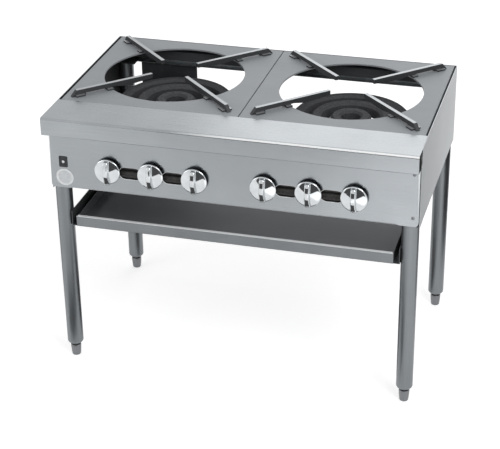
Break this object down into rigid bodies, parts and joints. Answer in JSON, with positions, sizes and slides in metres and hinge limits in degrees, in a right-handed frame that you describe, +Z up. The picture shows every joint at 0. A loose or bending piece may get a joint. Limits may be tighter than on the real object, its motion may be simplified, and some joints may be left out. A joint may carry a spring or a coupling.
{
  "type": "stock pot range",
  "caption": "Free-standing gas stock pot range with open burner sections side by side, front knobs, landing ledge, drip tray and tube legs on levelling feet.",
  "frame": {"origin": "on the floor under the middle of the bounding box", "axes": "+X to the range's right-hand section seen from the front, +Y from the knobs to the rear, +Z up"},
  "size_m": [0.914, 0.565, 0.711],
  "materials": {
    "leg_tube": "satin stainless tube",
    "foot_metal": "plated steel",
    "panel_steel": "satin stainless sheet",
    "ledge_steel": "satin stainless sheet",
    "deck_steel": "satin steel plate",
    "bar_steel": "ground top, dark sides",
    "knob_chrome": "polished chrome",
    "valve_brass": "dull brass",
    "pipe_iron": "dark pipe",
    "burner_iron": "matte black casting",
    "regulator_metal": "dull grey paint",
    "frame_steel": "plain coated steel",
    "tray_steel": "dull coated steel",
    "pilot_tube": "plain tubing",
    "plate_white": "pale blank plates"
  },
  "bodies": {
    "range_body": {"air_shutters": "burner_iron", "blank_plates": "plate_white", "burner_left_inner_ring": "burner_iron", "burner_left_middle_ring": "burner_iron", "burner_left_outer_ring": "burner_iron", "burner_right_inner_ring": "burner_iron", "burner_right_middle_ring": "burner_iron", "burner_right_outer_ring": "burner_iron", "burner_supports_left": "frame_steel", "burner_supports_right": "frame_steel", "centre_rail": "frame_steel", "feed_nipples": "pipe_iron", "front_cross_rail": "frame_steel", "front_panel": "panel_steel", "gas_inlet_pipe": "pipe_iron", "landing_ledge": "ledge_steel", "leg_front_left": "leg_tube", "leg_front_right": "leg_tube", "leg_gussets": "frame_steel", "leg_inserts": "frame_steel", "leg_rear_left": "leg_tube", "leg_rear_right": "leg_tube", "manifold_nipples": "pipe_iron", "manifold_plugs": "valve_brass", "orifice_hoods": "valve_brass", "panel_screws": "panel_steel", "pilot_lines": "pilot_tube", "rear_cross_rail": "frame_steel", "rear_rail": "panel_steel", "regulator": "regulator_metal", "regulator_plate": "regulator_metal", "side_panel_left": "panel_steel", "side_panel_right": "panel_steel", "side_rails": "frame_steel", "supply_cross_pipe": "pipe_iron", "supply_pipe": "pipe_iron", "tray_runners": "frame_steel", "valve_bodies": "valve_brass", "valve_bonnets": "valve_brass"},
    "knob_body_1": {"knob_1": "knob_chrome", "valve_stem_1": "valve_brass"},
    "knob_body_2": {"knob_2": "knob_chrome", "valve_stem_2": "valve_brass"},
    "knob_body_3": {"knob_3": "knob_chrome", "valve_stem_3": "valve_brass"},
    "knob_body_4": {"knob_4": "knob_chrome", "valve_stem_4": "valve_brass"},
    "knob_body_5": {"knob_5": "knob_chrome", "valve_stem_5": "valve_brass"},
    "knob_body_6": {"knob_6": "knob_chrome", "valve_stem_6": "valve_brass"},
    "foot_body_front_left": {"foot_front_left": "foot_metal"},
    "foot_body_front_right": {"foot_front_right": "foot_metal"},
    "foot_body_rear_left": {"foot_rear_left": "foot_metal"},
    "foot_body_rear_right": {"foot_rear_right": "foot_metal"},
    "deck_body_left": {"deck_plate_left": "deck_steel", "grate_bars_left": "bar_steel"},
    "deck_body_right": {"deck_plate_right": "deck_steel", "grate_bars_right": "bar_steel"},
    "tray_body": {"drip_tray": "tray_steel"}
  },
  "joints": [
    {"name": "knob_1_turn", "type": "hinge", "parent": "range_body", "child": "knob_body_1", "pos_m": [-0.304, -0.2545, 0.558], "axis": [0, 1, 0], "range_deg": [-90, 0]},
    {"name": "knob_2_turn", "type": "hinge", "parent": "range_body", "child": "knob_body_2", "pos_m": [-0.1945, -0.2545, 0.558], "axis": [0, 1, 0], "range_deg": [-90, 0]},
    {"name": "knob_3_turn", "type": "hinge", "parent": "range_body", "child": "knob_body_3", "pos_m": [-0.085, -0.2545, 0.558], "axis": [0, 1, 0], "range_deg": [-90, 0]},
    {"name": "knob_4_turn", "type": "hinge", "parent": "range_body", "child": "knob_body_4", "pos_m": [0.085, -0.2545, 0.558], "axis": [0, 1, 0], "range_deg": [-90, 0]},
    {"name": "knob_5_turn", "type": "hinge", "parent": "range_body", "child": "knob_body_5", "pos_m": [0.1945, -0.2545, 0.558], "axis": [0, 1, 0], "range_deg": [-90, 0]},
    {"name": "knob_6_turn", "type": "hinge", "parent": "range_body", "child": "knob_body_6", "pos_m": [0.304, -0.2545, 0.558], "axis": [0, 1, 0], "range_deg": [-90, 0]},
    {"name": "foot_front_left_screw", "type": "slide", "parent": "range_body", "child": "foot_body_front_left", "axis": [0, 0, -1], "range_m": [0, 0.025]},
    {"name": "foot_front_right_screw", "type": "slide", "parent": "range_body", "child": "foot_body_front_right", "axis": [0, 0, -1], "range_m": [0, 0.025]},
    {"name": "foot_rear_left_screw", "type": "slide", "parent": "range_body", "child": "foot_body_rear_left", "axis": [0, 0, -1], "range_m": [0, 0.025]},
    {"name": "foot_rear_right_screw", "type": "slide", "parent": "range_body", "child": "foot_body_rear_right", "axis": [0, 0, -1], "range_m": [0, 0.025]},
    {"name": "deck_left_lift", "type": "slide", "parent": "range_body", "child": "deck_body_left", "axis": [0, 0, 1], "range_m": [0, 0.25]},
    {"name": "deck_right_lift", "type": "slide", "parent": "range_body", "child": "deck_body_right", "axis": [0, 0, 1], "range_m": [0, 0.25]},
    {"name": "drip_tray_slide", "type": "slide", "parent": "range_body", "child": "tray_body", "axis": [0, -1, 0], "range_m": [0, 0.4]}
  ]
}
